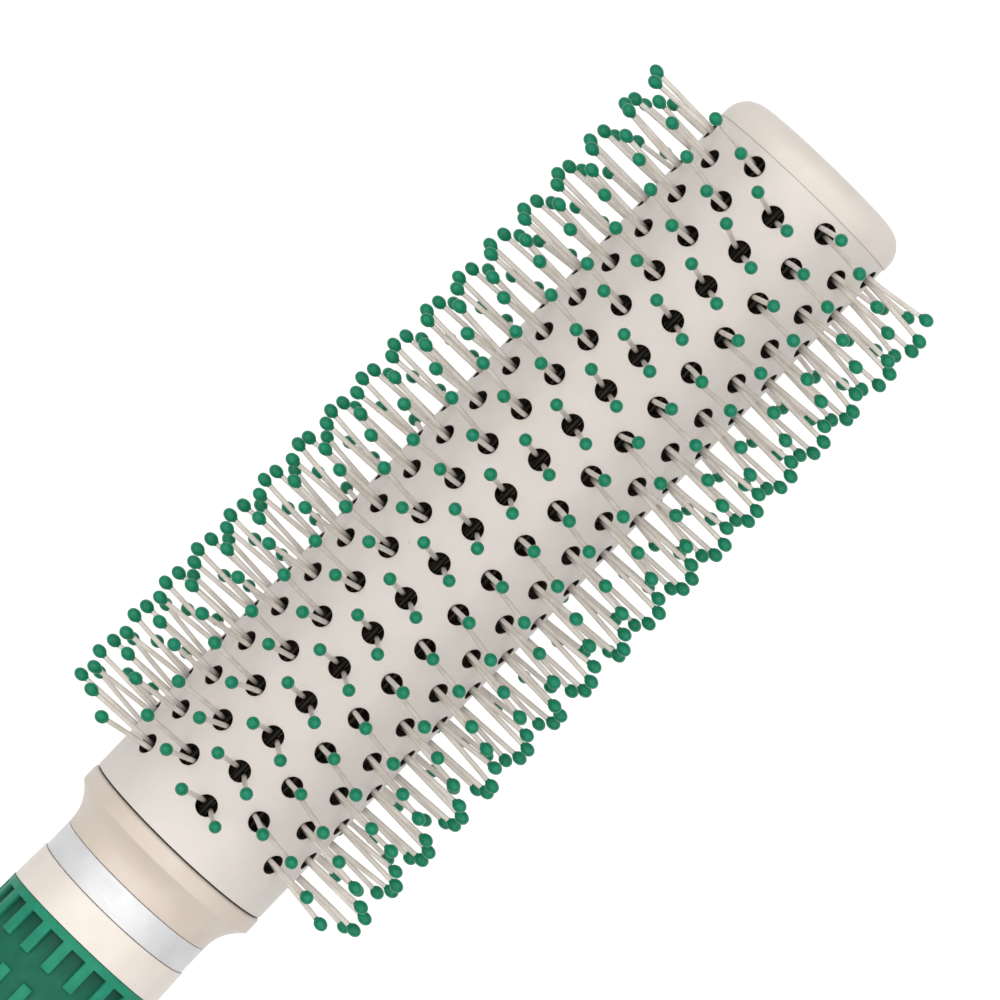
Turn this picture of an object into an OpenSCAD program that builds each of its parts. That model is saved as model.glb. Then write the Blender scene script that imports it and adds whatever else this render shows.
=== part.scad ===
// Round barrel hair brush: a vented barrel set with looped, ball-tipped bristles, on a soft-grip handle.
// It lies along X, handle towards -X and barrel tip towards +X, and rests on its lowest bristle tips.

/* [Barrel] */
// Outer diameter of the barrel tube
barrel_d = 33; // [28:0.5:50]
// Length of the barrel tube, from the collar to the end cap
barrel_l = 133.2; // [90:0.1:180]
// Wall of the barrel tube
barrel_wall = 1; // [0.8:0.1:1.6]
// Rows of vent holes round the barrel, every second row staggered by half a pitch
rows = 14; // [12:2:16]
// Diameter of a vent hole
vent_d = 3.3; // [2.7:0.1:4]
// Distance between the vent holes of one row
vent_pitch = 7; // [5.5:0.1:9]
// From the tube's collar end to the first vent hole
vent_start = 7.9; // [6.5:0.1:14]
// Least distance from the last vent hole's centre to the tube's far end
vent_margin = 2.5; // [2.4:0.1:6]

/* [Bristles] */
// Diameter of the nylon filament
pin_d = 0.8; // [0.6:0.02:1]
// Height of the ball centres over the barrel, square to it along the middle of a row
tip_height = 11.6; // [6:0.1:16]
// Distance between the two tips of one loop, as far as the edge of its vent lets the legs open
tip_spread = 6.7; // [4:0.1:7.5]
// Diameter of a bristle's ball tip
ball_d = 1.9; // [1.5:0.05:2.4]
// Length of the ball's tapered root, from the ball's centre down the pin
ball_root_l = 1.6; // [1.2:0.1:2.4]
// Turn of each loop about its own hole, which sets one leg nearer the tip and one nearer the handle
loop_turn = 12.3; // [0:0.1:20]
// Diameter of the steel wire that runs through the loops of one row
wire_d = 0.9; // [0.6:0.05:1]

/* [Support core] */
// Thickness of a rib behind a row of loops
rib_t = 1.2; // [1:0.1:2]
// Outer diameter of the core's hub
hub_d = 10; // [9:0.5:16]
// Bore of the hub, which the collar's and the end cap's bosses fit
hub_bore_d = 8; // [6:0.5:8]

/* [End cap] */
// Thickness of the end cap outside the tube
cap_t = 5.2; // [4.4:0.1:10]
// Radius of the end cap's rounded rim
cap_round = 4.2; // [1:0.1:4.4]
// Height of the end cap's and the collar's rims over the barrel
rim_rise = 0.2; // [0:0.05:0.4]

/* [Collar and ring] */
// Length of the collar between the barrel and the trim ring
collar_l = 9.2; // [7:0.1:14]
// Length of the collar's straight rim, before it narrows
rim_l = 3.1; // [1:0.1:4]
// Diameter of the collar's narrow end and of the trim ring
ring_d = 27.6; // [24:0.1:28]
// Length of the trim ring
ring_l = 4.9; // [3:0.1:8]
// Width of the shadow gap between the barrel and the collar
seam_gap = 0.25; // [0.1:0.05:0.5]
// Diameter of the collar's spigot, which carries the ring and enters the handle
spigot_d = 20; // [16:0.5:21]
// Length of the spigot inside the handle
spigot_l = 17.7; // [12:0.1:22]

/* [Handle] */
// Length of the bare neck between the ring and the grip
neck_l = 6.3; // [4:0.1:12]
// Diameter of the neck at the ring
neck_front_d = 28; // [27:0.1:30]
// Diameter of the neck at the grip
neck_back_d = 28.4; // [27:0.1:30]
// Thickness of the wall that the handle screw pulls on
bulkhead_t = 4; // [3:0.5:6]
// Diameter of the hollow inside the handle
cavity_d = 15.2; // [12:0.1:16]

/* [Grip] */
// Length of the soft grip
grip_l = 86.8; // [60:0.1:130]
// Diameter of the grip at its front end
grip_front_d = 28.6; // [27:0.1:32]
// Diameter of the grip at its belly
grip_belly_d = 29.2; // [28:0.1:34]
// Diameter of the grip at its waist
grip_waist_d = 23.2; // [23:0.1:28]
// Diameter of the grip at its back end
grip_back_d = 25.6; // [24:0.1:30]
// From the grip's front end to its belly
belly_at = 11.6; // [6:0.1:25]
// From the grip's waist to its back end
waist_back_l = 27.2; // [20:0.1:40]
// Thickness of the soft grip over its raised bars
sleeve_t = 2; // [1.6:0.1:2.4]
// Height of the raised bars over the grip's ground
relief = 0.6; // [0.3:0.1:0.9]
// Raised bars round the grip
bars_round = 20; // [16:2:30]
// Width of a raised bar
bar_w = 1.9; // [1:0.05:2.2]
// Turn of the bars round the grip from the first row of bristles
bar_turn = -2; // [-9:0.5:9]
// Length of a raised bar
bar_l = 4.8; // [3:0.1:8]
// Gap between two rows of bars, before the rows are spread evenly
bar_gap = 3.1; // [2:0.1:5]
// Width of the plain raised band at each end of the grip
band_w = 1.5; // [1:0.1:3]
// Height of that band over the bars that grow out of it
band_rise = 0.08; // [0.04:0.01:0.2]

/* [Butt cap] */
// Length of the butt cap behind the grip
butt_l = 17.8; // [14:0.1:30]
// Diameter of the hanging hole
hang_d = 5.5; // [4:0.1:6]
// From the end of the handle to the middle of the hanging hole
hang_at = 7; // [6:0.1:9]
// Length of the butt cap's spigot inside the handle
butt_spigot_l = 9; // [6:0.5:14]

/* [Handle screw] */
// Diameter of the screw's shank
screw_d = 4; // [3:0.5:5]
// Length of the screw under its head
screw_l = 20; // [16:1:24]
// Diameter of the screw's head
head_d = 7.6; // [6:0.2:9]
// Height of the screw's head
head_t = 2.6; // [2:0.1:3.5]
// Outer diameter of the washer
washer_d = 10; // [9:0.5:12]
// Thickness of the washer
washer_t = 0.8; // [0.5:0.1:1.5]

/* [Clearances] */
// Between a plug or boss and the bore that it fits, on the radius
fit_gap = 0.1; // [0.05:0.01:0.2]
// Between the filament and the wire, vent edge, core or ball that it lies against
pin_gap = 0.05; // [0.03:0.01:0.08]
// Between a retaining wire and the barrel's bore
wire_gap = 0.03; // [0.02:0.01:0.06]
// Between the ends of the support core and the plugs
core_gap = 0.2; // [0.1:0.1:0.5]
// Between the collar's plug and the edge of the first vent holes
plug_land = 0.75; // [0.3:0.05:1.5]

/* [Hidden] */
$fn = 96;
BEIGE = [0.90, 0.87, 0.83];
NECK_BEIGE = [0.92, 0.88, 0.85];
SILVER = [0.80, 0.80, 0.82];
GREEN = [0.10, 0.52, 0.40];
DARK = [0.12, 0.11, 0.10];
STEEL = [0.60, 0.61, 0.63];
NYLON = [0.85, 0.83, 0.79];

// Radii of the barrel and of what lies inside it
barrel_r = barrel_d / 2;
rim_r = barrel_r + rim_rise;
bore_r = barrel_r - barrel_wall;
pin_r = pin_d / 2;
plug_r = bore_r - fit_gap;
wire_ring_r = bore_r - wire_gap - wire_d / 2;
loop_r = wire_d / 2 / cos(loop_turn) + pin_gap + pin_r;
core_r = wire_ring_r - loop_r - pin_r - pin_gap;
boss_r = hub_bore_d / 2 - fit_gap;

// Rows and vents
row_step = 360 / rows;
stagger = vent_pitch / 2;
vents = floor((barrel_l - vent_start - stagger - vent_margin) / vent_pitch) + 1;

// Lean of a leg that passes through a point at the given offset and height from the bend's centre
function lean_to(off, height) = atan2(off, height) - asin(loop_r / norm([off, height]));

// One loop, seen in its own plane: a bend round the wire, then two legs that lean out of the vent
edge_off = vent_d / 2 - pin_r - pin_gap;
tip_rise = barrel_r + tip_height - wire_ring_r;
leg_a = min(lean_to(tip_spread / 2, tip_rise), lean_to(edge_off, barrel_r - wire_ring_r));
leg_l = (tip_rise + loop_r * sin(leg_a)) / cos(leg_a);

// Stations along the brush, from the barrel's collar end at 0
plug_l = vent_start - vent_d / 2 - plug_land;
flange_t = vent_margin - vent_d / 2;
wire_from = 1;
wire_into_cap = 1.8;
wire_hole_r = wire_d / 2 + pin_gap;
wire_end_gap = 0.2;
ring_at = -collar_l;
neck_at = ring_at - ring_l;
grip_at = neck_at - neck_l;
butt_at = grip_at - grip_l;
tail_at = butt_at - butt_l;
cap_end = barrel_l + cap_t;

// Collar, ring and handle joint
seat_r = bore_r + barrel_wall / 2;
ring_r = ring_d / 2;
flare_power = 2.4;
rim_chamfer = 0.4;
spigot_r = spigot_d / 2;
socket_r = spigot_r + fit_gap;
socket_end_gap = 0.3;
socket_l = spigot_l + socket_end_gap;
neck_edge = 0.15;
pocket_wall = 2.4;
spigot_wall = 2;
boss_l = 8;
ring_edge = 0.15;
ring_edge_depth = 0.5;
screw_r = screw_d / 2;
screw_hole_r = screw_r + 0.05;
screw_free_r = screw_r + 0.3;
pilot_l = screw_l - bulkhead_t - washer_t + 1;
bulkhead_at = neck_at - socket_l;
washer_at = bulkhead_at - bulkhead_t;
head_at = washer_at - washer_t;
cavity_r = cavity_d / 2;

// Grip
relief_sink = 0.3;
waist_at = grip_l - waist_back_l;
grip_edge = 0.25;
bar_rows = floor((grip_l - 2 * (band_w + bar_l) - bar_gap) / (bar_l + bar_gap) + 0.01);
row_gap = (grip_l - 2 * (band_w + bar_l) - bar_rows * bar_l) / (bar_rows + 1);
first_bar_at = band_w + bar_l + row_gap;

// The brush rests on the two lines of tips of its lowest row
axis_h = barrel_r + tip_height + ball_d / 2;
middle = (cap_end + tail_at) / 2;

function row_name(stem, i) = str(stem, i < 9 ? "_row_0" : "_row_", i + 1);

// Lays a shape that is drawn along +Z down along +X, with its own +X pointing up
module laid() {
    translate([-middle, 0, axis_h]) rotate([0, 90, 0]) rotate([0, 0, 180]) children();
}

// A cylinder along the brush between two stations
module rod(from, to, r) {
    translate([0, 0, from]) cylinder(h = to - from, r = r);
}

// A tube along the brush between two stations
module sleeve(from, to, r_in, r_out) {
    rotate_extrude() translate([r_in, from]) square([r_out - r_in, to - from]);
}

// Copies its children to every row, turned round the brush
module each_row() {
    for (i = [0:rows - 1]) rotate([0, 0, i * row_step]) children();
}

// Copies its children to every vent of row i, with the vent's own axis along +X
module each_vent(i) {
    rotate([0, 0, i * row_step])
        for (k = [0:vents - 1])
            translate([0, 0, vent_start + (i % 2) * stagger + k * vent_pitch]) children();
}

// Puts its children at both ends of a loop, with the pin's own axis along +X from the bend
module each_leg() {
    rotate([-loop_turn, 0, 0])
        for (side = [0, 1])
            mirror([0, side, 0])
                translate([wire_ring_r, 0, 0]) rotate([0, 0, leg_a]) translate([0, loop_r, 0]) children();
}

// ---- Barrel ----

module barrel_tube() {
    color(BEIGE) laid() difference() {
        sleeve(0, barrel_l, bore_r, barrel_r);
        for (i = [0:rows - 1]) each_vent(i)
            translate([bore_r - 1, 0, 0]) rotate([0, 90, 0]) cylinder(h = barrel_wall + 2, d = vent_d);
    }
}

module wire_holes(from, to) {
    each_row() translate([wire_ring_r, 0, 0]) rod(from, to, wire_hole_r);
}

module cap_outline() {
    flat_r = rim_r - cap_round;
    straight = cap_t - cap_round;
    square([flat_r, cap_t]);
    square([rim_r, straight]);
    intersection() {
        translate([flat_r, straight]) circle(r = cap_round);
        translate([flat_r, straight]) square(cap_round);
    }
}

module end_cap() {
    pocket_l = 2;
    color(BEIGE) laid() difference() {
        union() {
            translate([0, 0, barrel_l]) rotate_extrude() cap_outline();
            rod(barrel_l - flange_t, barrel_l, plug_r);
            rod(barrel_l - flange_t - boss_l, barrel_l, boss_r);
        }
        sleeve(barrel_l - flange_t - 1, barrel_l + pocket_l, hub_d / 2, plug_r - pocket_wall);
        wire_holes(barrel_l - flange_t - 1, barrel_l + wire_into_cap + wire_end_gap);
    }
}

module support_core() {
    from = plug_l + core_gap;
    to = barrel_l - flange_t - core_gap;
    color(DARK) laid() translate([0, 0, from]) linear_extrude(height = to - from) difference() {
        union() {
            circle(d = hub_d);
            each_row() translate([0, -rib_t / 2]) square([core_r, rib_t]);
        }
        circle(d = hub_bore_d);
    }
}

// ---- Bristles ----

module bristle_loop() {
    rotate([-loop_turn, 0, 0]) translate([wire_ring_r, 0, 0]) rotate([0, 0, 90 + leg_a])
        rotate_extrude(angle = 180 - 2 * leg_a) translate([loop_r, 0]) circle(r = pin_r, $fn = 32);
    each_leg() rotate([0, 90, 0]) cylinder(h = leg_l, r = pin_r, $fn = 32);
}

module ball_tip() {
    ball_r = ball_d / 2;
    hole_r = pin_r + pin_gap;
    root_wall = 0.12;
    shoulder = ball_r * 0.35;
    inside = 0.01;
    shoulder_r = sqrt(ball_r * ball_r - shoulder * shoulder) - inside;
    translate([leg_l, 0, 0]) rotate([0, 90, 0]) difference() {
        union() {
            sphere(r = ball_r, $fn = 48);
            translate([0, 0, -ball_root_l])
                cylinder(h = ball_root_l - shoulder, r1 = hole_r + root_wall, r2 = shoulder_r, $fn = 48);
        }
        translate([0, 0, -ball_root_l - 1]) cylinder(h = ball_root_l + 1, r = hole_r, $fn = 48);
    }
}

module bristles_row(i) {
    color(NYLON) laid() each_vent(i) bristle_loop();
}

module tips_row(i) {
    color(GREEN) laid() each_vent(i) each_leg() ball_tip();
}

module wire_row(i) {
    color(STEEL) laid() rotate([0, 0, i * row_step]) translate([wire_ring_r, 0, 0])
        rod(wire_from, barrel_l + wire_into_cap, wire_d / 2);
}

// ---- Collar and ring ----

// Radius of the collar's flare, t = 0 at the rim and 1 at the trim ring
function flare_r(t) = ring_r + (rim_r - ring_r) * pow(1 - t, flare_power);

module collar_outline() {
    steps = 14;
    flare = [for (k = [1:steps]) [flare_r(k / steps), -rim_l - (collar_l - rim_l) * k / steps]];
    polygon(concat(
        [[0, plug_l], [plug_r, plug_l], [plug_r, 0], [seat_r, 0], [seat_r, -seam_gap],
         [rim_r - rim_chamfer, -seam_gap], [rim_r, -seam_gap - rim_chamfer], [rim_r, -rim_l]],
        flare,
        [[spigot_r, -collar_l], [spigot_r, neck_at - spigot_l], [0, neck_at - spigot_l]]
    ));
}

module collar() {
    spigot_end = neck_at - spigot_l;
    color(BEIGE) laid() difference() {
        union() {
            rotate_extrude() collar_outline();
            rod(plug_l - 1, plug_l + boss_l, boss_r);
        }
        sleeve(-rim_l, plug_l + 1, hub_d / 2, plug_r - pocket_wall);
        sleeve(spigot_end - 1, -collar_l, hub_d / 2, spigot_r - spigot_wall);
        rod(spigot_end - 1, spigot_end + pilot_l, screw_hole_r);
        wire_holes(wire_from - wire_end_gap, plug_l + 1);
    }
}

module trim_ring() {
    edge_r = ring_r - ring_edge_depth;
    color(SILVER) laid() rotate_extrude() polygon([
        [socket_r, neck_at], [edge_r, neck_at], [ring_r, neck_at + ring_edge],
        [ring_r, ring_at - ring_edge], [edge_r, ring_at], [socket_r, ring_at]
    ]);
}

// ---- Handle ----

function blend(a, b, t) = a + (b - a) * (1 - cos(180 * t)) / 2;

// Radius of the grip over its bars, u from its front end
function grip_r(u) =
    (u < belly_at ? blend(grip_front_d, grip_belly_d, u / belly_at)
    : u < waist_at ? blend(grip_belly_d, grip_waist_d, (u - belly_at) / (waist_at - belly_at))
    : blend(grip_waist_d, grip_back_d, (u - waist_at) / waist_back_l)) / 2;

// Points of the grip's outline at depth d under its bars, at the distances in the list
function grip_line(list, d) = [for (u = list) [grip_r(u) - d, grip_at - u]];

// The outline's points lie at mid-bar and mid-gap, clear of the ends of the bars
function grip_stations() = concat(
    [0, band_w + bar_l / 2],
    [for (i = [0:2 * bar_rows]) first_bar_at + (i * (bar_l + row_gap) - row_gap) / 2],
    [grip_l - band_w - bar_l / 2, grip_l]
);

function backwards(list) = [for (k = [len(list) - 1:-1:0]) list[k]];

module handle_body() {
    front_r = neck_front_d / 2;
    back_r = neck_back_d / 2;
    color(NECK_BEIGE) laid() difference() {
        rotate_extrude() polygon(concat(
            [[0, neck_at], [front_r - neck_edge, neck_at], [front_r, neck_at - neck_edge],
             [back_r, grip_at + neck_edge], [back_r - neck_edge, grip_at]],
            grip_line(grip_stations(), sleeve_t),
            [[0, butt_at]]
        ));
        rod(bulkhead_at, neck_at + 1, socket_r);
        rod(washer_at - 1, bulkhead_at + 1, screw_free_r);
        rod(butt_at - 1, washer_at, cavity_r);
    }
}

// One raised bar of the grip from u0 to u1, turning through the given angle, its top lowered by drop
module raised(u0, u1, turn, drop) {
    ends = [u0, (u0 + u1) / 2, u1];
    rotate([0, 0, -turn / 2]) rotate_extrude(angle = turn) polygon(concat(
        grip_line(ends, drop), backwards(grip_line(ends, relief + relief_sink))
    ));
}

module bar_ring(u0, u1, drop = 0) {
    turn = bar_w / grip_r((u0 + u1) / 2) * 180 / PI;
    for (j = [0:bars_round - 1]) rotate([0, 0, bar_turn + j * 360 / bars_round]) raised(u0, u1, turn, drop);
}

// The plain raised band between the grip's end at u_end and the roots of the first bars at u_root
module end_band(u_end, u_root) {
    inward = sign(u_root - u_end);
    rotate_extrude() polygon(concat(
        grip_line([u_end, u_root], relief + relief_sink),
        grip_line([u_root, u_end + inward * grip_edge], 0),
        [[grip_r(u_end) - grip_edge, grip_at - u_end]]
    ));
}

module grip_sleeve() {
    root = band_w / 2;
    color(GREEN) laid() {
        rotate_extrude() polygon(concat(
            grip_line(grip_stations(), relief), backwards(grip_line(grip_stations(), sleeve_t))
        ));
        end_band(0, band_w);
        end_band(grip_l, grip_l - band_w);
        bar_ring(root, band_w + bar_l, band_rise);
        for (i = [0:bar_rows - 1]) let (u = first_bar_at + i * (bar_l + row_gap)) bar_ring(u, u + bar_l);
        bar_ring(grip_l - band_w - bar_l, grip_l - root, band_rise);
    }
}

module butt_cap() {
    steps = 24;
    fullness = 2.8;
    hollow_l = 4;
    butt_r = grip_back_d / 2;
    dome = [for (k = [0:steps]) let (a = 90 * k / steps)
        [butt_r * pow(cos(a), 2 / fullness), butt_at - butt_l * pow(sin(a), 2 / fullness)]];
    color(BEIGE) laid() difference() {
        union() {
            rotate_extrude() polygon(concat([[0, butt_at]], dome));
            rod(butt_at - 1, butt_at + butt_spigot_l, cavity_r - fit_gap);
        }
        rod(butt_at - hollow_l, butt_at + butt_spigot_l + 1, cavity_r - fit_gap - pocket_wall);
        translate([0, 0, tail_at + hang_at]) rotate([0, 90, 0])
            cylinder(h = 2 * butt_r + 2, d = hang_d, center = true);
    }
}

module handle_screw() {
    slot_w = 1;
    slot_l = head_d * 0.6;
    slot_deep = 1.5;
    color(STEEL) laid() difference() {
        union() {
            rod(head_at, head_at + screw_l, screw_r);
            rod(head_at - head_t, head_at, head_d / 2);
        }
        for (a = [0, 90]) rotate([0, 0, a])
            translate([-slot_l / 2, -slot_w / 2, head_at - head_t - 1])
                cube([slot_l, slot_w, slot_deep + 1]);
    }
}

module screw_washer() {
    color(STEEL) laid() sleeve(head_at, washer_at, screw_free_r, washer_d / 2);
}

barrel_tube();
end_cap();
support_core();
collar();
trim_ring();
handle_body();
grip_sleeve();
butt_cap();
handle_screw();
screw_washer();
for (i = [0:rows - 1]) bristles_row(i);
for (i = [0:rows - 1]) tips_row(i);
for (i = [0:rows - 1]) wire_row(i);
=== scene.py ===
"""Looks of the round barrel hair brush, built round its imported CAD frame.

Everything is in metres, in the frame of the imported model: the brush lies along X with its handle
towards -X, and rests on the floor at z = 0. A station is a distance along the brush from the collar
end of the barrel, towards the tip. An angle turns round the brush from straight up towards -Y.
"""

import math
import random

import bmesh
import bpy
import numpy as np
from mathutils import Euler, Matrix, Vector

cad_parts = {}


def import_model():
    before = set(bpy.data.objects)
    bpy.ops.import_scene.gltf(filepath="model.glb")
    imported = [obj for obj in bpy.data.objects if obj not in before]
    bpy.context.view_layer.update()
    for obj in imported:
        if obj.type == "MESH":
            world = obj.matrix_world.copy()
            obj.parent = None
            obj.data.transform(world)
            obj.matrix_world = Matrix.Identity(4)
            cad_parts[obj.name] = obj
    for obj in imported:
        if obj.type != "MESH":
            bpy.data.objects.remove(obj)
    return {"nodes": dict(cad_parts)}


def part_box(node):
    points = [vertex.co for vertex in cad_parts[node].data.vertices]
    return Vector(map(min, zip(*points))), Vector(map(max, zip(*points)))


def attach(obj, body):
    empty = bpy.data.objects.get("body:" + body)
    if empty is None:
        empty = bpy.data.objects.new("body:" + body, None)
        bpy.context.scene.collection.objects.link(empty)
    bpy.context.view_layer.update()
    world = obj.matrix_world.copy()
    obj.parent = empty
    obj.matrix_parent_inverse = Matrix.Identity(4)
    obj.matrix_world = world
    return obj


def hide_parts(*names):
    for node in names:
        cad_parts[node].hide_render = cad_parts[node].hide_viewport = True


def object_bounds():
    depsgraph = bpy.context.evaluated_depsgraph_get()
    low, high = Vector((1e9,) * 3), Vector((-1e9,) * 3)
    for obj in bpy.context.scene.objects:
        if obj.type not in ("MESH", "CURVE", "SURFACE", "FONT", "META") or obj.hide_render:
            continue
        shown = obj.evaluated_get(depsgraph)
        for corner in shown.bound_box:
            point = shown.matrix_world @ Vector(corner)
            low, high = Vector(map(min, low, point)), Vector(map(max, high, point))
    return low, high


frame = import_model()
cad_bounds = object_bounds()

# ---- Sizes read from the frame ----

MM = 0.001


def row_name(stem, row):
    return f"{stem}_row_{row + 1:02d}"


def radius_of(node):
    low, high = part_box(node)
    return (high.z - low.z) / 2


tube_low, tube_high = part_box("barrel_tube")
START_X = tube_low.x
AXIS_Z = (tube_low.z + tube_high.z) / 2
BARREL_L = tube_high.x - START_X
BARREL_R = radius_of("barrel_tube")
ROWS = sum(name.startswith("bristles_row") for name in frame["nodes"])
ROW_STEP = 2 * math.pi / ROWS


def ends_of(node):
    """Stations of a node's two ends."""
    low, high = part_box(node)
    return low.x - START_X, high.x - START_X


CAP_END = ends_of("end_cap")[1]
RIM_R = radius_of("end_cap")
RING_FROM, RING_TO = ends_of("trim_ring")
RING_R = radius_of("trim_ring")
GRIP_FROM, GRIP_TO = ends_of("grip_sleeve")
GRIP_L = GRIP_TO - GRIP_FROM
TAIL = ends_of("butt_cap")[0]
WIRE_R = (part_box(row_name("wire", 0))[1].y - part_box(row_name("wire", 0))[0].y) / 2
WIRE_RING_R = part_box(row_name("wire", 0))[1].z - WIRE_R - AXIS_Z


def vent_stations(row):
    """Stations of a row's vents: the frame's loops stand apart, one at each vent."""
    mesh = frame["nodes"][row_name("bristles", row)].data
    points = np.empty(len(mesh.vertices) * 3, np.float32)
    mesh.vertices.foreach_get("co", points)
    along = np.sort(points[0::3])
    loops = np.split(along, np.flatnonzero(np.diff(along) > MM) + 1)
    return [float(loop[0] + loop[-1]) / 2 - START_X for loop in loops]


VENTS = [vent_stations(row) for row in range(ROWS)]
PITCH = VENTS[0][1] - VENTS[0][0]

# ---- Sizes of the details ----

SEGMENTS = 160
BARREL_WALL = 1 * MM
VENT_R = 1.65 * MM
PIN_R = 0.4 * MM
PIN_GAP = 0.05 * MM
BALL_R = 0.95 * MM
BALL_HALF_L = 1.2 * MM
SEAM = 0.25 * MM
RIM_L = 3.1 * MM
NECK_FRONT_R = 14 * MM
NECK_BACK_R = 14.2 * MM
SPIGOT_R = 10 * MM
SPIGOT_WALL = 2 * MM
SPIGOT_L = 8 * MM
SLEEVE_T = 2 * MM
CAP_ROUND = 4.2 * MM
FLARE_POWER = 2.4


def place(station, radius, angle):
    """The point in the frame at a station, a distance from the axis and an angle round it."""
    return (START_X + station, -radius * math.sin(angle), AXIS_Z + radius * math.cos(angle))


# ---- Materials ----

def linear(red, green, blue):
    """A colour given as it looks on a screen, 0 to 255, as the shader's own linear colour."""
    def one(value):
        value /= 255
        return value / 12.92 if value <= 0.04045 else ((value + 0.055) / 1.055) ** 2.4
    return (one(red), one(green), one(blue), 1)


class Finish:
    """A procedural material: a Principled shader and the nodes that vary it over the surface."""

    def __init__(self, name, sockets):
        self.material = bpy.data.materials.new(name)
        self.material.use_nodes = True
        self.tree = self.material.node_tree
        self.shader = self.tree.nodes["Principled BSDF"]
        self.normal = None
        for socket, value in sockets.items():
            self.shader.inputs[socket].default_value = value

    def node(self, kind, inputs=None, **settings):
        made = self.tree.nodes.new(kind)
        for name, value in settings.items():
            setattr(made, name, value)
        for name, value in (inputs or {}).items():
            if isinstance(value, bpy.types.NodeSocket):
                self.tree.links.new(value, made.inputs[name])
            else:
                made.inputs[name].default_value = value
        return made

    def noise(self, size, stretch=(1, 1, 1), detail=3):
        """Soft noise of spots about size across, in metres, drawn out along the axes by stretch."""
        place_in = self.node("ShaderNodeTexCoord").outputs["Object"]
        scale = [1 / (size * k) for k in stretch]
        mapped = self.node("ShaderNodeMapping", {"Vector": place_in, "Scale": scale})
        inputs = {"Vector": mapped.outputs["Vector"], "Scale": 1, "Detail": detail}
        return self.node("ShaderNodeTexNoise", inputs).outputs["Fac"]

    def spread(self, value, low, high, to_low=0, to_high=1):
        """Value between low and high, spread over to_low to to_high."""
        inputs = {"Value": value, "From Min": low, "From Max": high, "To Min": to_low, "To Max": to_high}
        return self.node("ShaderNodeMapRange", inputs).outputs["Result"]

    def clouds(self, size, detail=3, low=0.35, high=0.65):
        """Soft noise between low and high as patches from 0 to 1."""
        return self.spread(self.noise(size, detail=detail), low, high)

    def attribute(self, name):
        return self.node("ShaderNodeAttribute", attribute_name=name).outputs["Fac"]

    def blend(self, factor, a, b):
        """Colour a where factor is 0 and b where it is 1."""
        made = self.node("ShaderNodeMix", data_type="RGBA")
        for socket, value in zip((made.inputs[0], made.inputs[6], made.inputs[7]), (factor, a, b)):
            if isinstance(value, bpy.types.NodeSocket):
                self.tree.links.new(value, socket)
            else:
                socket.default_value = value
        return made.outputs[2]

    def feed(self, socket, value):
        self.tree.links.new(value, self.shader.inputs[socket])

    def bump(self, height, depth):
        """Adds a relief of the given depth, in metres, on top of the reliefs added before."""
        inputs = {"Height": height, "Distance": depth, "Strength": 1}
        if self.normal is not None:
            inputs["Normal"] = self.normal
        self.normal = self.node("ShaderNodeBump", inputs).outputs["Normal"]
        self.feed("Normal", self.normal)


def ceramic_coat():
    """Satin ceramic paint on the barrel: faint clouds, orange peel and a few dust specks."""
    finish = Finish("ceramic_coat", {"Specular IOR Level": 0.4})
    clouds = finish.clouds(7 * MM)
    base = finish.blend(clouds, linear(182, 176, 169), linear(186, 179, 173))
    specks = finish.clouds(0.7 * MM, 1, 0.79, 0.84)
    finish.feed("Base Color", finish.blend(specks, base, linear(166, 158, 148)))
    peel = finish.noise(0.5 * MM)
    finish.feed("Roughness", finish.spread(peel, 0.3, 0.7, 0.38, 0.48))
    finish.bump(peel, 0.012 * MM)
    return finish.material


def vent_shadow():
    """Painted shade: near-black brown of the tube's inside, its vents' walls and the seam at the collar.
    """
    finish = Finish("vent_shadow", {"Specular IOR Level": 0.3})
    shade_mottle = finish.clouds(0.6 * MM)
    finish.feed("Base Color", finish.blend(shade_mottle, linear(24, 20, 17), linear(44, 38, 33)))
    finish.feed("Roughness", finish.spread(shade_mottle, 0, 1, 0.5, 0.75))
    finish.bump(shade_mottle, 0.02 * MM)
    return finish.material


def moulded_plastic(name, light, dark):
    """Satin moulded plastic: faint flow clouds, fine moulding grain and dust specks."""
    finish = Finish(name, {"Specular IOR Level": 0.4})
    clouds = finish.clouds(6 * MM)
    base = finish.blend(clouds, dark, light)
    specks = finish.clouds(0.6 * MM, 1, 0.78, 0.83)
    finish.feed("Base Color", finish.blend(specks, base, linear(164, 154, 144)))
    grain = finish.noise(0.25 * MM)
    finish.feed("Roughness", finish.spread(grain, 0.3, 0.7, 0.34, 0.44))
    finish.bump(grain, 0.008 * MM)
    return finish.material


def core_plastic():
    """Brown plastic of the support core, with a rough moulded grain; the depth of the vents darkens it."""
    finish = Finish("core_plastic", {"Specular IOR Level": 0.3})
    grain = finish.clouds(0.5 * MM, 5, 0.3, 0.7)
    finish.feed("Base Color", finish.blend(grain, linear(100, 90, 72), linear(150, 136, 112)))
    finish.feed("Roughness", finish.spread(grain, 0, 1, 0.45, 0.7))
    finish.bump(grain, 0.04 * MM)
    return finish.material


def satin_metal(name, light, dark, roughness, mark_depth):
    """Metal with turning marks that run round the brush."""
    finish = Finish(name, {"Metallic": 1})
    marks = finish.noise(0.05 * MM, stretch=(1, 90, 90), detail=2)
    clouds = finish.clouds(4 * MM)
    finish.feed("Base Color", finish.blend(clouds, dark, light))
    finish.feed("Roughness", finish.spread(marks, 0.3, 0.7, roughness - 0.05, roughness + 0.07))
    finish.bump(marks, mark_depth)
    return finish.material


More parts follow.
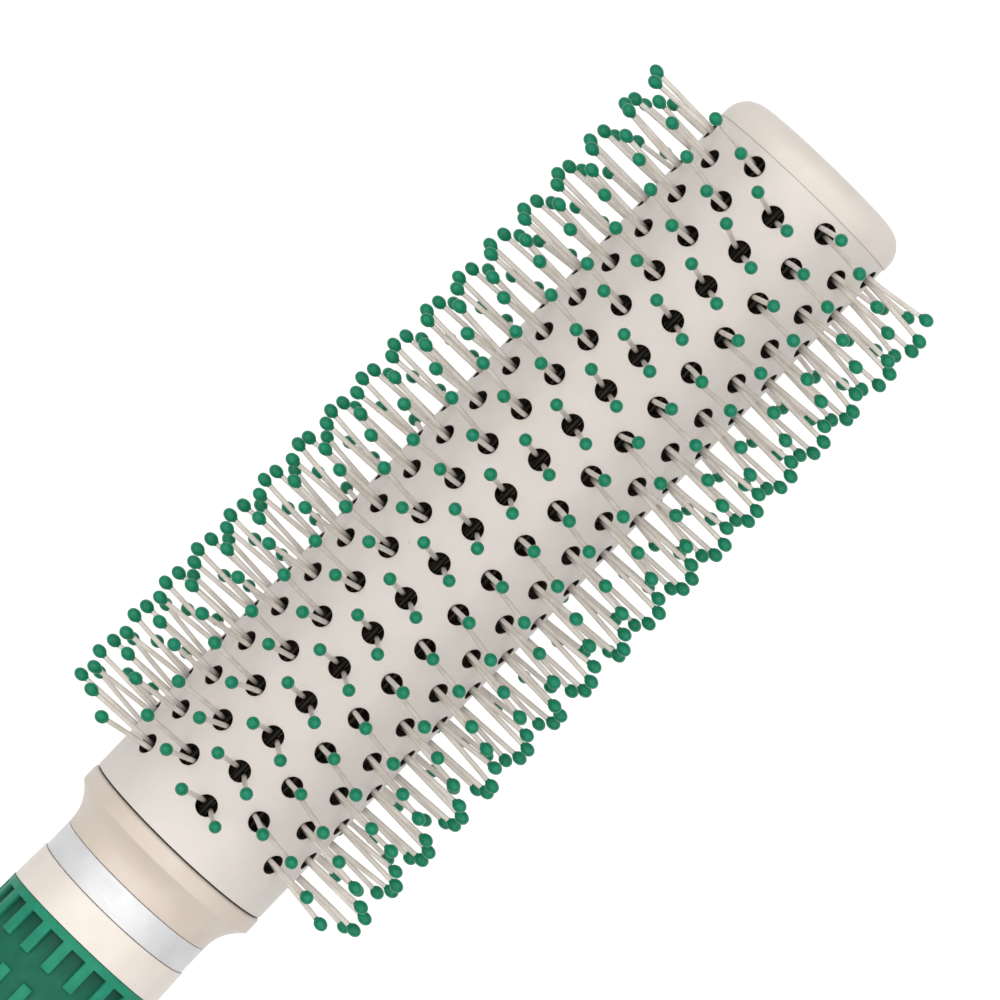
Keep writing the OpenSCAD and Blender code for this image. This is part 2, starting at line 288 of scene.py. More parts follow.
def grip_rubber():
    """Soft green grip rubber: painted light on bar tops, painted shade in hollows; tops rubbed smoother.
    """
    sockets = {"Specular IOR Level": 0.18, "Sheen Weight": 0.02, "Sheen Roughness": 0.5}
    finish = Finish("grip_rubber", sockets)
    # Painted light and shade by the rise: bar tops lighter, the hollows and the front joint line darker.
    rise = finish.attribute("rise")
    lit_rubbed_tops = finish.spread(rise, 0, 1)
    hollow_shade = finish.spread(rise, 0, -1)
    mottle = finish.clouds(2 * MM)
    ground = finish.blend(mottle, linear(8, 79, 60), linear(12, 86, 66))
    tops = finish.blend(mottle, linear(16, 108, 82), linear(24, 116, 90))
    base = finish.blend(lit_rubbed_tops, ground, tops)
    finish.feed("Base Color", finish.blend(hollow_shade, base, linear(6, 59, 46)))
    grain = finish.noise(0.18 * MM)
    finish.feed("Roughness", finish.spread(lit_rubbed_tops, 0, 1, 0.62, 0.5))
    finish.bump(grain, 0.02 * MM)
    return finish.material


def nylon():
    """Milky nylon filament, with painted shade: its colour darkens where it runs down into the barrel."""
    finish = Finish("nylon", {"Transmission Weight": 0.15, "IOR": 1.5, "Specular IOR Level": 0.5})
    milk = finish.clouds(3 * MM, 1)
    base = finish.blend(milk, linear(192, 184, 174), linear(206, 199, 190))
    finish.feed("Base Color", finish.blend(finish.attribute("shade"), base, linear(34, 29, 25)))
    finish.feed("Roughness", finish.spread(milk, 0, 1, 0.28, 0.36))
    return finish.material


def tip_green():
    """Glossy green dip of the ball tips."""
    sockets = {"Specular IOR Level": 0.15, "Coat Weight": 0.15, "Coat Roughness": 0.1}
    finish = Finish("tip_green", sockets)
    depth = finish.clouds(0.9 * MM)
    finish.feed("Base Color", finish.blend(depth, linear(0, 98, 68), linear(2, 110, 80)))
    finish.feed("Roughness", finish.spread(depth, 0, 1, 0.22, 0.34))
    finish.bump(finish.noise(0.3 * MM), 0.01 * MM)
    return finish.material


# ---- Mesh helpers ----

def add_piece(name, mesh, materials, nodes, sharp_angle=None):
    """Links a finished mesh as a piece that stands for the given CAD nodes."""
    mesh.shade_smooth()
    if sharp_angle is not None:
        mesh.set_sharp_from_angle(angle=math.radians(sharp_angle))
    for material in materials:
        mesh.materials.append(material)
    piece = bpy.data.objects.new(name, mesh)
    bpy.context.scene.collection.objects.link(piece)
    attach(piece, "root")
    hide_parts(*nodes)
    return piece


def rounded(outline, steps=5):
    """A closed outline of (station, radius) points, from corners of (station, radius, corner radius)."""
    points = []
    for k, (station, radius, corner) in enumerate(outline):
        here = Vector((station, radius))
        if corner == 0:
            points.append((station, radius))
            continue
        back = (Vector(outline[k - 1][:2]) - here).normalized()
        ahead = (Vector(outline[(k + 1) % len(outline)][:2]) - here).normalized()
        half = back.angle(ahead) / 2
        centre = here + (back + ahead).normalized() * corner / math.sin(half)
        first = here + back * corner / math.tan(half) - centre
        last = here + ahead * corner / math.tan(half) - centre
        sweep = math.pi - 2 * half
        for step in range(steps + 1):
            turn = sweep * step / steps
            arm = (first * math.sin(sweep - turn) + last * math.sin(turn)) / math.sin(sweep)
            points.append(tuple(centre + arm))
    return points


def turned_mesh(name, outline):
    """The solid that a closed outline of (station, radius) points makes when it turns round the brush."""
    solid = bmesh.new()
    rings = []
    for station, radius in outline:
        count = SEGMENTS if radius > 0 else 1
        turn = 2 * math.pi / SEGMENTS
        rings.append([solid.verts.new(place(station, radius, j * turn)) for j in range(count)])
    for near, far in zip(rings, rings[1:] + rings[:1]):
        for j in range(SEGMENTS if max(len(near), len(far)) > 1 else 0):
            k = (j + 1) % SEGMENTS
            corners = [near[j % len(near)], near[k % len(near)], far[k % len(far)], far[j % len(far)]]
            solid.faces.new(list(dict.fromkeys(corners)))
    bmesh.ops.recalc_face_normals(solid, faces=solid.faces)
    mesh = bpy.data.meshes.new(name)
    solid.to_mesh(mesh)
    solid.free()
    return mesh


# ---- Barrel ----

# A vent sits in a cell of CELL_SIDE quads a side. FLAT_RINGS widen its bore into the flat round it.
CELL_SIDE = 8
VENT_BEVEL = 0.12 * MM
FLAT_RINGS = (0.9 * MM, 0.4 * MM)
UPPER_WALL = 0.35 * MM
WELD = 0.004 * MM
ROUNDING = 1e-6


def cell_border(half_length, half_angle):
    """Offsets (along, angle) round one vent's cell from a corner on, CELL_SIDE of them a side."""
    steps = [2 * k / CELL_SIDE - 1 for k in range(CELL_SIDE)]
    corners = [(t, 1) for t in steps] + [(1, -t) for t in steps]
    corners += [(-t, -1) for t in steps] + [(-1, t) for t in steps]
    return [(along * half_length, turn * half_angle) for along, turn in corners]


def vent_rings(radius):
    """Pairs (ring radius, depth under the surface) from round the vent down its wall to the bore."""
    bevel = VENT_BEVEL
    flat = [(radius + wider, 0) for wider in FLAT_RINGS]
    edge = [(radius + bevel, 0), (radius + 0.35 * bevel, 0.2 * bevel), (radius, bevel)]
    return flat + edge + [(radius, UPPER_WALL), (radius, BARREL_WALL)]


def barrel_mesh():
    """The tube, one cell of quads to a vent; the strips at its ends have no vents."""
    border = cell_border(PITCH / 2, ROW_STEP / 2)
    corner_turn = math.pi * 3 / 4
    turns = [corner_turn - 2 * math.pi * j / len(border) for j in range(len(border))]
    angles = [(2 * k / CELL_SIDE - 1) * ROW_STEP / 2 for k in range(CELL_SIDE + 1)]
    # Material 1 is painted shade: the tube's inside, its ends and the walls of the vents below their
    # bevel.
    solid = bmesh.new()
    bore_r = BARREL_R - BARREL_WALL

    def point(station, side, depth, row):
        """A point of the tube at a tangential distance from the row's own plane."""
        radius = BARREL_R - depth
        lift = math.sqrt(radius * radius - side * side)
        angle = row * ROW_STEP + math.atan2(side, lift)
        return solid.verts.new(place(min(max(station, 0), BARREL_L), radius, angle))

    def strip(near, far, material):
        for j in range(len(near)):
            k = (j + 1) % len(near)
            face = solid.faces.new([near[j], near[k], far[k], far[j]])
            face.material_index = material

    def cell(station, row):
        outer = [point(station + along, BARREL_R * math.sin(turn), 0, row) for along, turn in border]
        previous = outer
        for ring_r, depth in vent_rings(VENT_R):
            ring = []
            for turn in turns:
                ring.append(point(station + ring_r * math.cos(turn), ring_r * math.sin(turn), depth, row))
            strip(previous, ring, 1 if depth > VENT_BEVEL else 0)
            previous = ring
        inner = []
        for along, turn in border:
            inner.append(point(station + along, bore_r * math.sin(turn), BARREL_WALL, row))
        strip(previous, inner, 1)

    def line(station, radius, row):
        """Points across one row's share of the tube's outside or inside."""
        return [point(station, radius * math.sin(a), BARREL_R - radius, row) for a in angles]

    def end_face(outer, inner):
        """The tube's end between a line on its outside and one on its inside."""
        for k in range(CELL_SIDE):
            corners = [outer[k], outer[k + 1], inner[k + 1], inner[k]]
            solid.faces.new(corners).material_index = 1

    def plain(start, stop, row):
        """A patch of tube with no vent, from the cell border at start to the tube's end at stop."""
        side = PITCH / CELL_SIDE
        count = math.ceil(abs(stop - start) / side - ROUNDING)
        stations = [start + math.copysign(side, stop - start) * k for k in range(count + 1)]
        rims = []
        for radius, material in ((BARREL_R, 0), (bore_r, 1)):
            grid = [line(station, radius, row) for station in stations]
            for a, b in zip(grid, grid[1:]):
                for k in range(CELL_SIDE):
                    solid.faces.new([a[k], a[k + 1], b[k + 1], b[k]]).material_index = material
            rims.append(grid[-1])
        end_face(*rims)

    for row, stations in enumerate(VENTS):
        for station in stations:
            cell(station, row)
        plain(stations[0] - PITCH / 2, 0, row)
        last_edge = stations[-1] + PITCH / 2
        if last_edge < BARREL_L:
            plain(last_edge, BARREL_L, row)
        else:
            end_face(line(BARREL_L, BARREL_R, row), line(BARREL_L, bore_r, row))
    bmesh.ops.remove_doubles(solid, verts=solid.verts, dist=WELD)
    bmesh.ops.recalc_face_normals(solid, faces=solid.faces)
    mesh = bpy.data.meshes.new("ceramic_barrel")
    solid.to_mesh(mesh)
    solid.free()
    return mesh


# ---- Bristles ----

# SWAY_ALONG and SWAY_ROUND are the standard deviations of a tip's stray from its place. A pin's colour
# darkens as painted shade from SHADE_FROM over the barrel's surface to SHADE_L lower. No pin points
# along ASKEW, so it gives every tip a direction square to its pin.
LEAN_ROUNDS = 4
BEND_STEPS = 6
LEG_STEPS = 9
PIN_SIDES = 10
TIP_RINGS = 12
TIP_SIDES = 16
TIP_SLIM = 0.97
TIP_FULL = 1.05
TIP_SMALLEST = 0.96
TIP_ROOT_L = 0.18 * MM
TIP_ROOT_GAP = 0.02 * MM
ASKEW = (1.0, 0.3, 0.2)
SWAY_ALONG = 0.33 * MM
SWAY_ROUND = 0.28 * MM
SWAY_POWER = 1.6
SHADE_FROM = 0.3 * MM
SHADE_L = 1.1 * MM

first_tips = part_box(row_name("tips", 0))
TIP_R = first_tips[1].z - AXIS_Z - BALL_R
TIP_SIDE = (first_tips[1].y - first_tips[0].y) / 2 - BALL_R
TIP_ALONG = VENTS[0][0] - BALL_R - (first_tips[0].x - START_X)
TIP_OFF = math.hypot(TIP_SIDE, TIP_ALONG)
TIP_ROOM = cad_bounds[1].y - BALL_R


def loop_in_plane():
    """The filament's line in its own plane, (sideways, outwards): leg tip, round the wire, leg tip."""
    bend_r = math.hypot(WIRE_R, WIRE_R * TIP_ALONG / TIP_SIDE) + PIN_GAP + PIN_R
    lean = 0
    for _ in range(LEAN_ROUNDS):
        off = TIP_OFF - bend_r * math.cos(lean)
        lean = math.atan2(off, TIP_R - WIRE_RING_R + bend_r * math.sin(lean))
    tip = Vector((TIP_OFF, TIP_R))
    foot = Vector((bend_r * math.cos(lean), WIRE_RING_R - bend_r * math.sin(lean)))
    leg = [tip.lerp(foot, k / LEG_STEPS) for k in range(LEG_STEPS)]
    bend = []
    for k in range(BEND_STEPS + 1):
        turn = -lean - k / BEND_STEPS * (math.pi - 2 * lean)
        bend.append(Vector((bend_r * math.cos(turn), WIRE_RING_R + bend_r * math.sin(turn))))
    return leg + bend + [Vector((-p.x, p.y)) for p in reversed(leg)]


LOOP = loop_in_plane()


def row_loops(row, chance):
    """Every loop of a row as an array of points; legs sway a little by chance beyond the barrel."""
    angle = row * ROW_STEP
    out = np.array([0, -math.sin(angle), math.cos(angle)])
    around = np.array([0, -math.cos(angle), -math.sin(angle)])
    along = np.array([1, 0, 0])
    sideways = (around * TIP_SIDE - along * TIP_ALONG) / TIP_OFF
    loops = []
    for station in VENTS[row]:
        origin = np.array([START_X + station, 0, AXIS_Z])
        sways = []
        for side in (1, -1):
            sway = along * chance.gauss(0, SWAY_ALONG) + around * chance.gauss(0, SWAY_ROUND)
            tip = origin + side * TIP_OFF * sideways + TIP_R * out + sway
            keeps_inside = abs(tip[1]) < TIP_ROOM
            sways.append(sway if keeps_inside else 0 * sway)
        points = []
        for p in LOOP:
            share = max((p.y - BARREL_R) / (TIP_R - BARREL_R), 0) ** SWAY_POWER
            points.append(origin + p.x * sideways + p.y * out + share * sways[0 if p.x > 0 else 1])
        loops.append(points)
    return np.array(loops), np.cross(sideways, out)


def mesh_of(name, points, faces):
    mesh = bpy.data.meshes.new(name)
    mesh.from_pydata(points.reshape(-1, 3).tolist(), [], faces)
    mesh.validate()
    return mesh


def unit(vectors):
    return vectors / np.linalg.norm(vectors, axis=-1, keepdims=True)


def tube_faces(first, rings, sides):
    """Faces of one closed tube whose rings of vertices start at first."""
    faces = [list(range(first, first + sides))[::-1]]
    for ring in range(rings - 1):
        a = first + ring * sides
        for k in range(sides):
            n = (k + 1) % sides
            faces.append([a + k, a + n, a + sides + n, a + sides + k])
    end = first + (rings - 1) * sides
    faces.append(list(range(end, end + sides)))
    return faces


def pins_mesh(name, loops, across):
    """Round filaments along the loops; across is square to every loop's own plane."""
    tangents = unit(np.gradient(loops, axis=1))
    first = unit(across - (tangents @ across)[..., None] * tangents)
    second = np.cross(tangents, first)
    turns = 2 * np.pi * np.arange(PIN_SIDES) / PIN_SIDES
    circle = np.cos(turns)[:, None] * first[..., None, :]
    circle = circle + np.sin(turns)[:, None] * second[..., None, :]
    points = loops[..., None, :] + PIN_R * circle
    rings = loops.shape[1]
    faces = []
    for k in range(len(loops)):
        faces += tube_faces(k * rings * PIN_SIDES, rings, PIN_SIDES)
    mesh = mesh_of(name, points, faces)
    # Painted shade: the pins' colour darkens below the barrel's surface.
    height = np.hypot(points[..., 1], points[..., 2] - AXIS_Z) - BARREL_R
    shade = np.clip((SHADE_FROM - height) / SHADE_L, 0, 1).ravel()
    mesh.attributes.new("shade", "FLOAT", "POINT").data.foreach_set("value", shade)
    return mesh


def tip_outline():
    """(height, radius) points of a ball tip along its pin, from the open root to the crown."""
    centre = BALL_R - BALL_HALF_L
    root = math.asin((PIN_R + PIN_GAP) / BALL_R)
    turns = [root + (math.pi - root) * (k / (TIP_RINGS - 1)) for k in range(TIP_RINGS)]
    outline = []
    for turn in turns[:-1]:
        outline.append((centre - BALL_HALF_L * math.cos(turn), TIP_FULL * BALL_R * math.sin(turn)))
    return [(outline[0][0] - TIP_ROOT_L, PIN_R + TIP_ROOT_GAP)] + outline


def tips_mesh(name, loops, chance):
    """An egg-shaped tip at both ends of every loop, a little different in size from ball to ball."""
    outline = tip_outline()
    blocks = []
    faces = []
    rings = len(outline)
    turns = 2 * np.pi * np.arange(TIP_SIDES) / TIP_SIDES
    for loop in loops:
        for tip, inside in ((loop[0], loop[1]), (loop[-1], loop[-2])):
            axis = unit(tip - inside)
            first = unit(np.cross(axis, ASKEW))
            second = np.cross(axis, first)
            size = chance.uniform(TIP_SMALLEST, 1)
            circle = np.cos(turns)[:, None] * first + np.sin(turns)[:, None] * second
            faces += tube_faces(len(blocks) * rings * TIP_SIDES, rings, TIP_SIDES)
            ball = [tip + TIP_SLIM * height * axis + radius * size * circle for height, radius in outline]
            blocks.append(ball)
    return mesh_of(name, np.array(blocks), faces)


# ---- Turned shells ----

# STEP is the dark step in the seam between the barrel and the collar.
FLARE_STEPS = 18
RIM_FRONT_ROUND = 0.7 * MM
RIM_BACK_ROUND = 0.3 * MM
EDGE_ROUND = 0.12 * MM
RING_ROUND = 0.14 * MM
RING_GAP = 0.08 * MM
RING_SEAT_GAP = 0.1 * MM
STEP_DEPTH = 3 * MM
STEP_RISE = 0.3 * MM
STEP_BACK = 0.2 * MM
STEP_FRONT = 0.5 * MM
CAP_PLUG_L = 0.8 * MM
CAP_PLUG_GAP = 0.1 * MM
CAP_CLEAR = 0.02 * MM
CAP_STEPS = 14


def flare_radius(t):
    """Radius of the collar's flare, t = 0 at the rim and 1 at the trim ring."""
    return RING_R + (RIM_R - RING_R) * (1 - t) ** FLARE_POWER


def collar_outline():
    """The collar's rim and flare, and its spigot inside the ring and the handle."""
    flare_l = -RING_TO - RIM_L
    inner_r = SPIGOT_R - SPIGOT_WALL
    spigot_end = RING_FROM - SPIGOT_L
    rim = [(-SEAM, inner_r, 0), (-SEAM, RIM_R, RIM_FRONT_ROUND), (-RIM_L, RIM_R, RIM_BACK_ROUND)]
    flare = []
    for k in range(1, FLARE_STEPS):
        flare.append((-RIM_L - flare_l * k / FLARE_STEPS, flare_radius(k / FLARE_STEPS), 0))
    spigot = [(RING_TO, SPIGOT_R, 0), (spigot_end, SPIGOT_R, 0), (spigot_end, inner_r, 0)]
    return rounded(rim + flare + [(RING_TO, RING_R, EDGE_ROUND)] + spigot)


def seam_outline():
    """The plug step, in painted shade, that shows as a dark line between the barrel and the collar."""
    bore_r = BARREL_R - BARREL_WALL
    back, low, high = -SEAM - STEP_BACK, bore_r - STEP_DEPTH, bore_r + STEP_RISE
    return [(back, low), (back, high), (STEP_FRONT, high), (STEP_FRONT, low)]


def cap_outline():
    """The end cap: a short plug in the tube, then the rounded cap."""
    plug_r = BARREL_R - BARREL_WALL - CAP_PLUG_GAP
    plug_from = BARREL_L - CAP_PLUG_L
    cap_from = BARREL_L + CAP_CLEAR
    flat_r = RIM_R - CAP_ROUND
    plug = [(plug_from, 0, 0), (plug_from, plug_r, 0), (cap_from, plug_r, 0)]
    cap = [(cap_from, RIM_R, EDGE_ROUND), (CAP_END - CAP_CLEAR, RIM_R, CAP_ROUND)]
    return rounded(plug + cap + [(CAP_END, flat_r / 2, 0), (CAP_END, 0, 0)], steps=CAP_STEPS)


def ring_outline():
    """The trim ring, a hair shorter than its seat, so that a fine dark line shows on both sides."""
    inner_r = SPIGOT_R + RING_SEAT_GAP
    front, back = RING_TO - RING_GAP, RING_FROM + RING_GAP
    return rounded(
        [(front, inner_r, 0), (front, RING_R, RING_ROUND), (back, RING_R, RING_ROUND), (back, inner_r, 0)])


# ---- Grip ----

# The edge of the grip lies EDGE_SWEEP further forward on its upper side than below, and the sweep
# fades out over SWEEP_L. Its first SHADOW_LINE is a painted shadow line at the joint.
# EDGES and EDGE_RISE round the edges of the bars, as distances from the edge and shares of the height,
# and FRONT_EDGE rounds the sleeve's own two ends as (distance from the end, share of the height).
# The hollows of the first bars sink ROOT_SINK deeper at the band, where they also take painted shade.
# CUTS are shares of a bar's length.
BAND_W = 1.5 * MM
BAR_L = 4.8 * MM
BAR_W = 1.9 * MM
BAR_RINGS = 9
BARS_ROUND = 20
BAR_TURN = math.radians(-2)
EDGE_SWEEP = 0.8 * MM
SWEEP_L = 14 * MM
SHADOW_LINE = 0.1 * MM
RELIEF = 0.6 * MM
BELLY_AT = 11.6 * MM
WAIST_BACK_L = 27.2 * MM
FRONT_R = 14.3 * MM
BELLY_R = 14.6 * MM
WAIST_R = 11.6 * MM
BACK_R = 12.8 * MM
ROOT_SINK = 0.25 * MM
EDGES = (0.04 * MM, 0.14 * MM, 0.35 * MM)
EDGE_RISE = (0.8, 0.97, 1)
FRONT_EDGE = ((0.0, 0.55), (0.08 * MM, 0.88), (0.25 * MM, 1), (0.8 * MM, 1))
BAND_END_RISE = 0.95
FIRST_BAR_CUTS = (0.15, 0.3, 0.5, 0.7, 0.85)
BAR_CUTS = (0.25, 0.5, 0.75)


def eased(a, b, t):
    return a + (b - a) * (1 - math.cos(math.pi * t)) / 2


def grip_radius(u):
    """Radius over the bars, u from the grip's front end."""
    waist_at = GRIP_L - WAIST_BACK_L
    if u < BELLY_AT:
        return eased(FRONT_R, BELLY_R, u / BELLY_AT)
    if u < waist_at:
        return eased(BELLY_R, WAIST_R, (u - BELLY_AT) / (waist_at - BELLY_AT))
    return eased(WAIST_R, BACK_R, (u - waist_at) / WAIST_BACK_L)


def bar_end(at, way):
    """Rows over the rounded end of the bars at a place, and way says where the bars lie from there."""
    return [(at + way * edge, rise, 0) for edge, rise in zip(EDGES, EDGE_RISE)]


def grip_rows():
    """Rows of the grip's surface as (u, rise of a bar, rise between bars); the two ends are alike."""
    gap = (GRIP_L - 2 * (BAND_W + BAR_L) - BAR_RINGS * BAR_L) / (BAR_RINGS + 1)
    first_end = BAND_W + BAR_L
    front = [(u, rise, rise) for u, rise in FRONT_EDGE]
    front += [(BAND_W - EDGES[1], 1, 1), (BAND_W - EDGES[0], 1, BAND_END_RISE), (BAND_W + EDGES[0], 1, -1)]
    front += [(BAND_W + BAR_L * t, 1, t - 1) for t in FIRST_BAR_CUTS]
    front += bar_end(first_end, -1)[::-1]
    front += [(first_end + EDGES[0], 0, 0), (first_end + EDGES[2], 0, 0)]
    middle = []
    for ring in range(BAR_RINGS):
        start = first_end + gap + ring * (BAR_L + gap)
        stop = start + BAR_L
        middle += [(start - EDGES[2], 0, 0), (start - EDGES[0], 0, 0)]
        middle += bar_end(start, 1)
        middle += [(start + BAR_L * t, 1, 0) for t in BAR_CUTS]
        middle += bar_end(stop, -1)[::-1]
        middle += [(stop + EDGES[0], 0, 0), (stop + EDGES[2], 0, 0)]
    return front + middle + [(GRIP_L - u, bar, between) for u, bar, between in reversed(front)]


def grip_columns(u):
    """Columns round the grip at u as (angle, is on a bar, share of the full rise)."""
    radius = grip_radius(u)
    cell = math.pi / BARS_ROUND
    bar_half = BAR_W / radius / 2
    columns = []
    for q in range(2 * BARS_ROUND):
        on_bar = q % 2 == 0
        half = bar_half if on_bar else cell - bar_half
        arms = [(half - edge / radius, rise) for edge, rise in zip(EDGES, EDGE_RISE)]
        offsets = [(-arm, rise) for arm, rise in arms] + [(0, 1)] + arms[::-1]
        columns += [(BAR_TURN + q * cell + arm, on_bar, rise) for arm, rise in offsets]
    return columns


def grip_mesh():
    """The sleeve as rows of columns: its outside with the bars, then back along its bore."""
    rings = []
    rises = []
    for u, bar, between in grip_rows():
        radius = grip_radius(u)
        points = []
        for angle, on_bar, share in grip_columns(u):
            rise = between + (bar - between) * share if on_bar else between
            drop = RELIEF * (1 - rise) if rise >= 0 else RELIEF - ROOT_SINK * rise
            sweep = EDGE_SWEEP * max(1 - u / SWEEP_L, 0) * max(math.cos(angle), 0)
            points.append(place(GRIP_TO - u + sweep, radius - drop, angle))
            # Painted shadow: the grip's first SHADOW_LINE takes the darkest hollow colour.
            rises.append(-1 if u < SHADOW_LINE else rise)
        rings.append(points)
    for u in (GRIP_L, GRIP_L / 2, 0.0):
        points = [place(GRIP_TO - u, grip_radius(u) - SLEEVE_T, angle) for angle, _, _ in grip_columns(u)]
        rings.append(points)
        rises += [0] * len(points)
    columns = len(rings[0])
    faces = []
    for a in range(len(rings)):
        b = (a + 1) % len(rings)
        for k in range(columns):
            n = (k + 1) % columns
            faces.append([a * columns + k, a * columns + n, b * columns + n, b * columns + k])
    mesh = mesh_of("ribbed_soft_grip", np.array(rings), faces)
    mesh.attributes.new("rise", "FLOAT", "POINT").data.foreach_set("value", rises)
    return mesh


# ---- Handle and butt ----

BUTT_POWER = 2 / 2.8
BUTT_STEPS = 40
HANG_R = 2.75 * MM
HANG_AT = 7 * MM
HANG_RIM = 0.5 * MM
NECK_EDGE = 0.15 * MM
HANDLE_BORE_R = 8 * MM
UNDER_STEPS = 24
UNDER_GAP = 0.02 * MM


def handle_outline():
    """The bare neck, then the body that runs on under the grip."""
    neck = [(RING_FROM, HANDLE_BORE_R, 0), (RING_FROM, NECK_FRONT_R, NECK_EDGE)]
    neck.append((GRIP_TO, NECK_BACK_R, NECK_EDGE))
    under = []
    for k in range(UNDER_STEPS + 1):
        u = GRIP_L * k / UNDER_STEPS
        under.append((GRIP_TO - u, grip_radius(u) - SLEEVE_T - UNDER_GAP, 0))
    return rounded(neck + under + [(GRIP_FROM, HANDLE_BORE_R, 0)])


def butt_outline():
    """A dome that is fuller than a half ellipse, from the grip's end to the tail."""
    length = GRIP_FROM - TAIL
    dome = []
    for k in range(BUTT_STEPS + 1):
        turn = math.pi / 2 * k / BUTT_STEPS
        radius = BACK_R * math.cos(turn) ** BUTT_POWER if k < BUTT_STEPS else 0
        dome.append((GRIP_FROM - length * math.sin(turn) ** BUTT_POWER, radius))
    return [(GRIP_FROM, 0)] + dome


def butt_cap(material):
    """The domed butt, drilled through for hanging, with the hole's rims rounded."""
    mesh = turned_mesh("domed_butt_cap", butt_outline())
    piece = add_piece("domed_butt_cap", mesh, [material], ["butt_cap"])
    drill = bmesh.new()
    bmesh.ops.create_cone(
        drill, segments=64, radius1=HANG_R, radius2=HANG_R, depth=3 * BACK_R, cap_ends=True)
    bmesh.ops.translate(drill, verts=drill.verts, vec=place(TAIL + HANG_AT, 0, 0))
    drill_mesh = bpy.data.meshes.new("drill")
    drill.to_mesh(drill_mesh)
    drill.free()
    tool = bpy.data.objects.new("drill", drill_mesh)
    bpy.context.scene.collection.objects.link(tool)
    cut = piece.modifiers.new("hang_hole", "BOOLEAN")
    cut.object = tool
    cut.solver = "EXACT"
    soften = piece.modifiers.new("rim", "BEVEL")
    soften.width = HANG_RIM
    soften.segments = 4
    soften.angle_limit = math.radians(35)
    bpy.context.view_layer.update()
    finished = bpy.data.meshes.new_from_object(piece.evaluated_get(bpy.context.evaluated_depsgraph_get()))
    piece.modifiers.clear()
    piece.data = finished
    finished.shade_smooth()
    finished.set_sharp_from_angle(angle=math.radians(40))
    bpy.data.objects.remove(tool)
    return piece


# ---- Camera, light and floor ----

# The camera's place and lens were fitted to the vents in the photograph, at an assumed 0.9 m.
AIM_STATION = 75.4 * MM
CAMERA_TILT = (math.radians(2.365), math.radians(1.240), math.radians(-46.098))
CAMERA_OFFSET = (-4.733 * MM, -3.832 * MM, 900 * MM)
CAMERA_LENS = 218.48
SENSOR_WIDTH = 36
SOFTBOX_HEIGHT = 1.4
SOFTBOX_SIZE = 4.1
SOFTBOX_RADIANCE = 1.75
SKY = 0.45
FLOOR_HALF = 6
FLOOR_GLOW = 0.93


def camera():
    """Looks down on the brush, turned so that its handle points to the lower left."""
    data = bpy.data.cameras.new("camera")
    data.lens = CAMERA_LENS
    data.sensor_width = SENSOR_WIDTH
    data.clip_start = 0.05
    data.clip_end = 20
    made = bpy.data.objects.new("camera", data)
    x, y, z = CAMERA_TILT
    turn = Euler((x, 0, 0)).to_matrix() @ Euler((0, y, 0)).to_matrix() @ Euler((0, 0, z)).to_matrix()
    made.matrix_world = turn.to_4x4()
    made.location = Vector(place(AIM_STATION, 0, 0)) + turn @ Vector(CAMERA_OFFSET)
    bpy.context.scene.collection.objects.link(made)
    bpy.context.scene.camera = made


def area_light(name, location, size, radiance):
    """A square softbox that points down, with its power worked out from the brightness of its face."""
    data = bpy.data.lights.new(name, "AREA")
    data.size = size
    data.energy = radiance * math.pi * size * size
    made = bpy.data.objects.new(name, data)
    made.location = location
    bpy.context.scene.collection.objects.link(made)


def floor():
    """A white light table: it glows by itself, so that the brush stands on an even white ground."""
    sockets = {"Roughness": 0.9, "Specular IOR Level": 0.1, "Emission Strength": FLOOR_GLOW}
    finish = Finish("floor_white", sockets | {"Emission Color": (1, 1, 1, 1)})
    haze = finish.clouds(60 * MM, low=0.3, high=0.7)
    finish.feed("Base Color", finish.blend(haze, (0.15, 0.15, 0.15, 1), (0.16, 0.16, 0.16, 1)))
    half = FLOOR_HALF
    corners = [(-half, -half, 0), (half, -half, 0), (half, half, 0), (-half, half, 0)]
    mesh = bpy.data.meshes.new("floor")
    mesh.from_pydata(corners, [], [(0, 1, 2, 3)])
    mesh.materials.append(finish.material)
    made = bpy.data.objects.new("floor", mesh)
    bpy.context.scene.collection.objects.link(made)


def world(brightness):
    """An even grey sky."""
    made = bpy.data.worlds.new("studio")
    made.use_nodes = True
    colour = (brightness, brightness, brightness, 1)
    made.node_tree.nodes["Background"].inputs["Color"].default_value = colour
    bpy.context.scene.world = made


# ---- Build ----

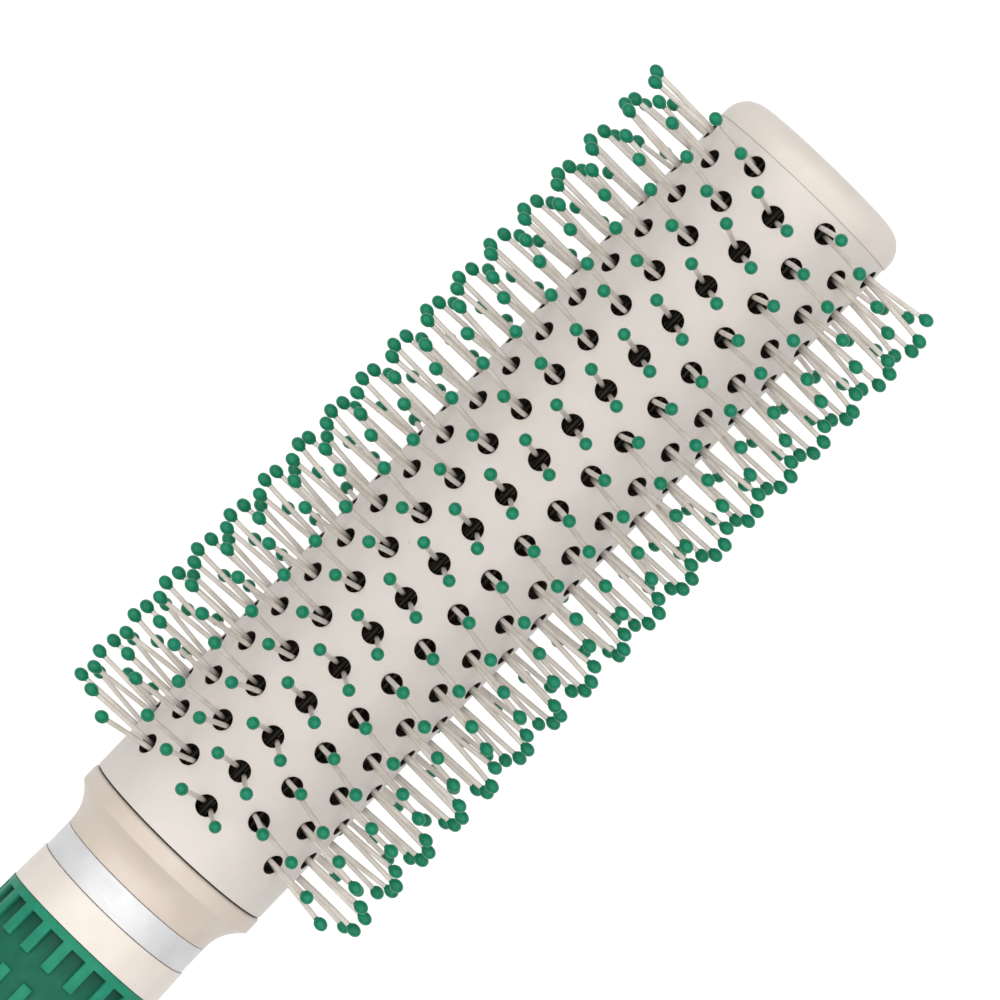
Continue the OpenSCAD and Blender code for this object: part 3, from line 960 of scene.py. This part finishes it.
SEED = 14
SMOOTH_UNDER = 32
SMOOTH_UNDER_GRIP = 50
SMOOTH_UNDER_BRISTLE = 60
MARK_DEPTH = 0.004 * MM
CAP_BEIGE = moulded_plastic("cap_plastic", linear(190, 182, 174), linear(185, 177, 168))
COLLAR_BEIGE = moulded_plastic("collar_plastic", linear(182, 171, 161), linear(177, 165, 153))
NECK_BEIGE = moulded_plastic("neck_plastic", linear(197, 189, 181), linear(192, 183, 174))
COAT = ceramic_coat()
SHADOW = vent_shadow()
RING_METAL = satin_metal("satin_ring", (0.65, 0.65, 0.65, 1), (0.61, 0.61, 0.62, 1), 0.72, MARK_DEPTH)
# The wires' steel is painted near-black as shade, for the depth of the vents it lies in.
WIRE_STEEL_SHADED = satin_metal("wire_steel_painted_shade", (0.03, 0.027, 0.022, 1), (0.015, 0.013, 0.01, 1), 0.6, MARK_DEPTH)
SCREW_STEEL = satin_metal("screw_steel", (0.6, 0.6, 0.62, 1), (0.5, 0.5, 0.52, 1), 0.3, MARK_DEPTH)
CORE = core_plastic()
RUBBER = grip_rubber()
NYLON = nylon()
TIP_GREEN = tip_green()


def carry_over(material, *nodes):
    """A CAD node whose shape is right stays, with a better material."""
    for node in nodes:
        materials = frame["nodes"][node].data.materials
        materials.clear()
        materials.append(material)


def add_turned(name, outline, material, node):
    """Adds a turned shell of one material that stands for one CAD node."""
    add_piece(name, turned_mesh(name, outline), [material], [node], SMOOTH_UNDER)


add_piece("ceramic_barrel", barrel_mesh(), [COAT, SHADOW], ["barrel_tube"], SMOOTH_UNDER)
add_turned("rounded_end_cap", cap_outline(), CAP_BEIGE, "end_cap")
add_turned("flared_collar", collar_outline(), COLLAR_BEIGE, "collar")
add_turned("seam_step", seam_outline(), SHADOW, "collar")
add_turned("silver_trim_ring", ring_outline(), RING_METAL, "trim_ring")
add_turned("handle_neck", handle_outline(), NECK_BEIGE, "handle_body")
add_piece("ribbed_soft_grip", grip_mesh(), [RUBBER], ["grip_sleeve"], SMOOTH_UNDER_GRIP)
butt_cap(CAP_BEIGE)

chance = random.Random(SEED)
for row in range(ROWS):
    loops, across = row_loops(row, chance)
    pins = f"nylon_pins_{row + 1:02d}"
    tips = f"ball_tips_{row + 1:02d}"
    pin_node, tip_node = row_name("bristles", row), row_name("tips", row)
    filaments = pins_mesh(pins, loops, across)
    add_piece(pins, filaments, [NYLON], [pin_node], SMOOTH_UNDER_BRISTLE)
    balls = tips_mesh(tips, loops, chance)
    add_piece(tips, balls, [TIP_GREEN], [tip_node], SMOOTH_UNDER_BRISTLE)
    carry_over(WIRE_STEEL_SHADED, row_name("wire", row))
carry_over(CORE, "support_core")
carry_over(SCREW_STEEL, "handle_screw", "screw_washer")

camera()
area_light("softbox", place(AIM_STATION, SOFTBOX_HEIGHT, 0), SOFTBOX_SIZE, SOFTBOX_RADIANCE)
world(SKY)
floor()
bpy.context.scene.view_settings.view_transform = "Standard"
